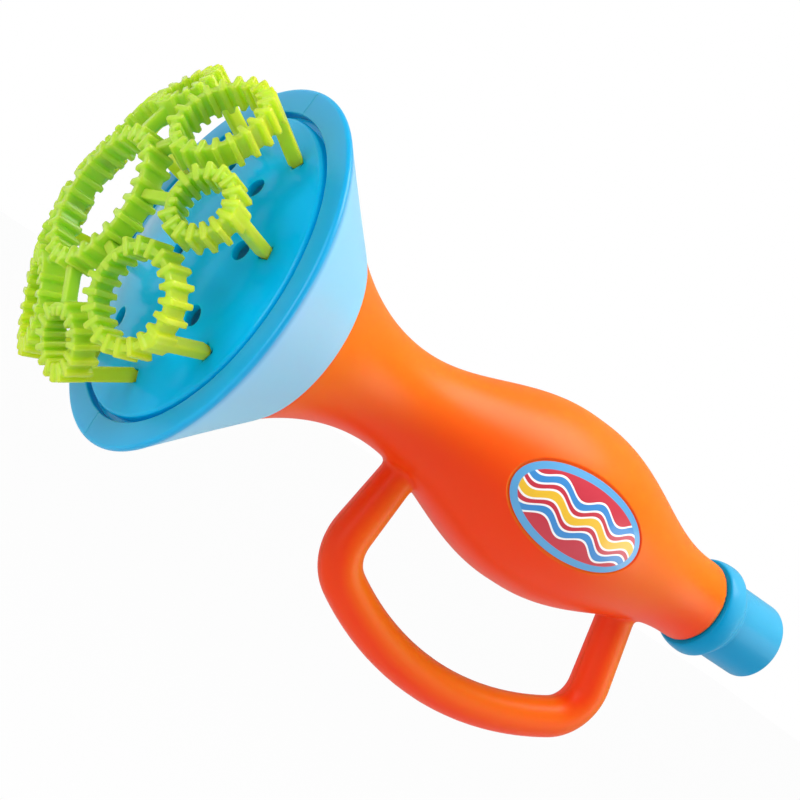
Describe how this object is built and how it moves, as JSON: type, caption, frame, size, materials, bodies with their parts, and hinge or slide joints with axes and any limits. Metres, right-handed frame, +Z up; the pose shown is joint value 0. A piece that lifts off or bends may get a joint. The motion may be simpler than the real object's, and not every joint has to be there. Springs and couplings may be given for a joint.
{
  "type": "bubble blower trumpet",
  "caption": "Toy bubble trumpet: hollow horn with a loop handle, a vented bell, a pull-off head of toothed bubble rings and a push-on mouthpiece.",
  "frame": {"origin": "on the horn's axis at the mouth end of the mouthpiece", "axes": "+X along the horn's axis out of the mouth end, so the bell is towards -X; +Z up, away from the handle; -Y to the player's left, the labelled side"},
  "size_m": [0.2665, 0.1054, 0.1216],
  "materials": {
    "horn_shell": "gloss",
    "bell_shell": "gloss",
    "face_plate": "gloss",
    "side_label": "printed film",
    "mouthpiece": "gloss",
    "bubble_head": "translucent gloss"
  },
  "bodies": {
    "horn": {"body_left": "horn_shell", "body_right": "horn_shell", "handle_left": "horn_shell", "handle_right": "horn_shell", "bell_left": "bell_shell", "bell_right": "bell_shell", "face_plate": "face_plate", "side_label": "side_label"},
    "mouthpiece": {"mouthpiece": "mouthpiece"},
    "bubble_head": {"crown_ring": "bubble_head", "large_petal_1": "bubble_head", "large_petal_2": "bubble_head", "large_petal_3": "bubble_head", "large_petal_4": "bubble_head", "small_petal_1": "bubble_head", "small_petal_2": "bubble_head", "small_petal_3": "bubble_head", "small_petal_4": "bubble_head"}
  },
  "joints": [
    {"name": "head_pull", "type": "slide", "parent": "horn", "child": "bubble_head", "axis": [-1, 0, 0], "range_m": [0, 0.004]},
    {"name": "mouthpiece_pull", "type": "slide", "parent": "horn", "child": "mouthpiece", "axis": [1, 0, 0], "range_m": [0, 0.0115]}
  ]
}
